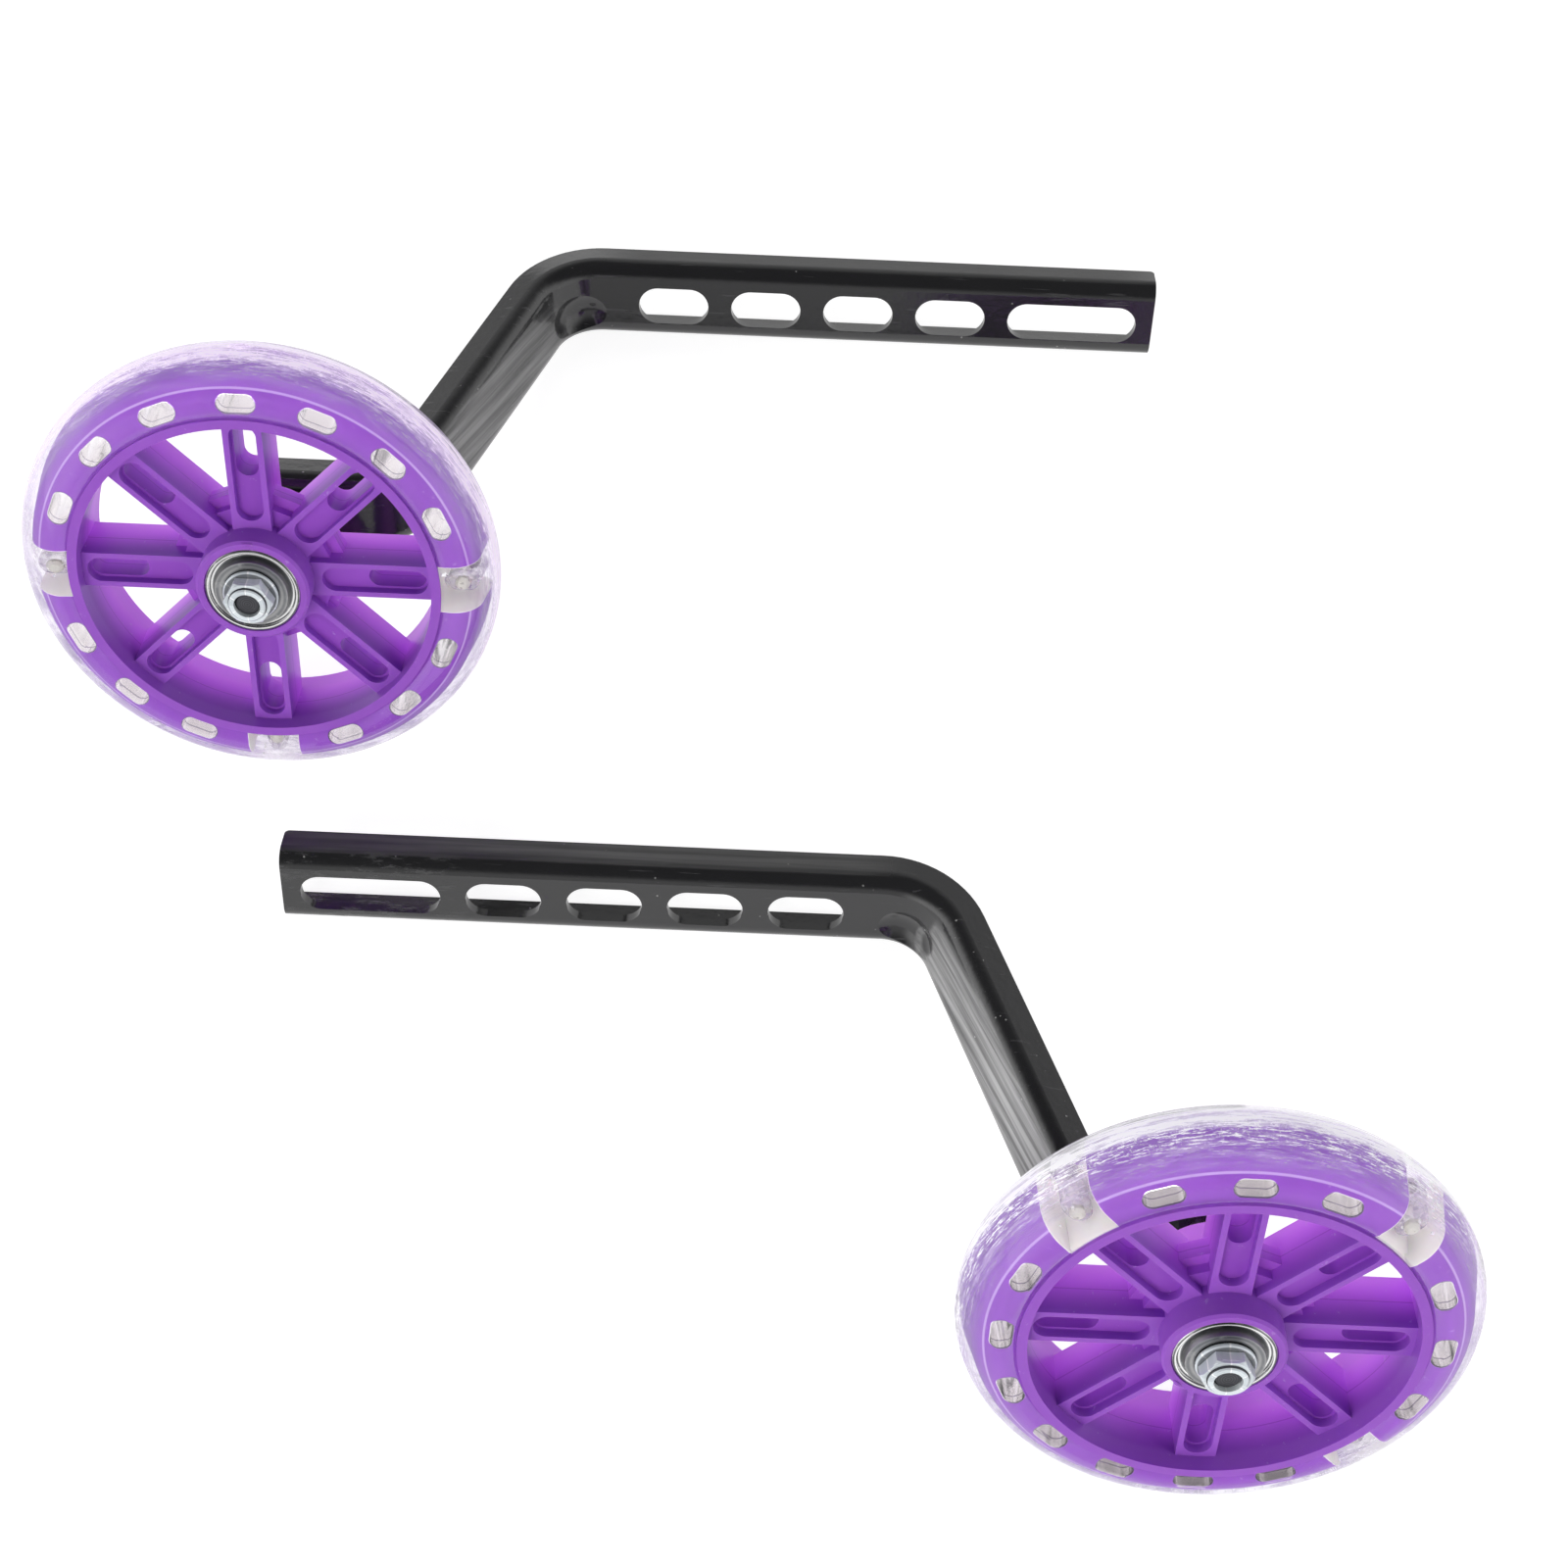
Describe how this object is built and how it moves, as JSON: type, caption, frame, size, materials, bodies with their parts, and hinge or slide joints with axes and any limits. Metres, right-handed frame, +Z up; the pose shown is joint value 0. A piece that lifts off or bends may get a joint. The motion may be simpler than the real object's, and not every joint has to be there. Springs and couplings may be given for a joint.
{
  "type": "bicycle training wheels",
  "caption": "Pair of mirrored training wheels: each a bent, slotted channel bracket that carries a clear-tyred spoked wheel on bearings beside a bicycle's rear axle.",
  "frame": {"origin": "middle of the pair's bounding box, on the ground the pair lies on", "axes": "+Z up; +X along the slotted bars, towards the free end of the right unit's bar; +Y away from the picture's camera"},
  "size_m": [0.328, 0.3042, 0.0962],
  "materials": {
    "black_paint": "gloss black paint with a light orange peel",
    "zinc_steel": "bright zinc plating",
    "bearing_steel": "ground bearing steel",
    "shield_steel": "pressed steel, dull",
    "purple_plastic": "slightly translucent purple moulding",
    "clear_tyre": "clear cast polyurethane",
    "capsule_plastic": "grey translucent potting",
    "lamp_plastic": "clear epoxy"
  },
  "bodies": {
    "brackets": {"right_bracket": "black_paint", "right_axle_bolt": "zinc_steel", "right_jam_nut": "zinc_steel", "right_spacing_washer": "zinc_steel", "right_axle_sleeve": "zinc_steel", "right_inner_races": "bearing_steel", "right_lock_nut": "zinc_steel", "left_bracket": "black_paint", "left_axle_bolt": "zinc_steel", "left_jam_nut": "zinc_steel", "left_spacing_washer": "zinc_steel", "left_axle_sleeve": "zinc_steel", "left_inner_races": "bearing_steel", "left_lock_nut": "zinc_steel"},
    "right_wheel": {"right_wheel_core": "purple_plastic", "right_tyre": "clear_tyre", "right_outer_races": "bearing_steel", "right_bearing_shields": "shield_steel", "right_light_capsules": "capsule_plastic", "right_light_lamps": "lamp_plastic"},
    "right_ball_set": {"right_bearing_balls": "bearing_steel", "right_ball_cages": "shield_steel"},
    "left_wheel": {"left_wheel_core": "purple_plastic", "left_tyre": "clear_tyre", "left_outer_races": "bearing_steel", "left_bearing_shields": "shield_steel", "left_light_capsules": "capsule_plastic", "left_light_lamps": "lamp_plastic"},
    "left_ball_set": {"left_bearing_balls": "bearing_steel", "left_ball_cages": "shield_steel"}
  },
  "joints": [
    {"name": "right_wheel_spin", "type": "hinge", "parent": "brackets", "child": "right_wheel", "pos_m": [-0.109, 0.04492, 0.04809], "axis": [0, -0.8411, 0.5409], "continuous": true},
    {"name": "right_ball_orbit", "type": "hinge", "parent": "brackets", "child": "right_ball_set", "pos_m": [-0.109, 0.04492, 0.04809], "axis": [0, -0.8411, 0.5409], "continuous": true},
    {"name": "left_wheel_spin", "type": "hinge", "parent": "brackets", "child": "left_wheel", "pos_m": [0.109, -0.11708, 0.04809], "axis": [0, -0.8411, 0.5409], "continuous": true},
    {"name": "left_ball_orbit", "type": "hinge", "parent": "brackets", "child": "left_ball_set", "pos_m": [0.109, -0.11708, 0.04809], "axis": [0, -0.8411, 0.5409], "continuous": true}
  ],
  "couplings": [
    {"joint": "right_ball_orbit", "follows": "right_wheel_spin", "ratio": 0.6287},
    {"joint": "left_ball_orbit", "follows": "left_wheel_spin", "ratio": 0.6287}
  ]
}
